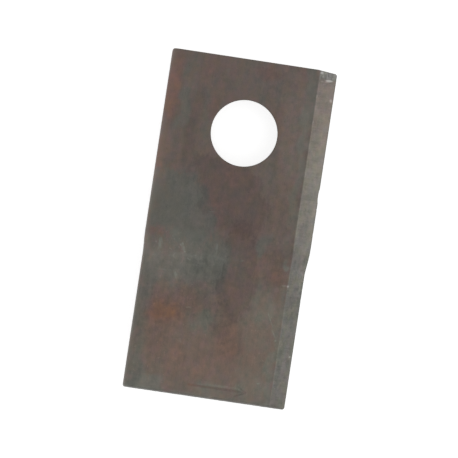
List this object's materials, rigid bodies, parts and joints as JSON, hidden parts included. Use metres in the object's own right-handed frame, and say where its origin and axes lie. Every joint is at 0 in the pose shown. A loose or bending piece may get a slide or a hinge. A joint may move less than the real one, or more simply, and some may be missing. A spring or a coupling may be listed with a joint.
{
  "type": "rotary mower blade",
  "caption": "Flat steel knife for a disc mower: a punched pivot hole at one end, one ground cutting edge along its side, and a tip half twisted to lift the cut grass.",
  "frame": {"origin": "middle of the pivot hole, at half the thickness of the strip", "axes": "+Z along the pivot hole, out of the face that carries the bevel; +X towards the cutting edge; +Y along the blade towards the inner end, with the tip at -Y"},
  "size_m": [0.05, 0.1027, 0.0123],
  "materials": {
    "steel": "dark heat-treated steel with brown and grey-green oxide, ground grey on the bevel"
  },
  "bodies": {
    "root": {"blade": "steel"}
  },
  "joints": []
}
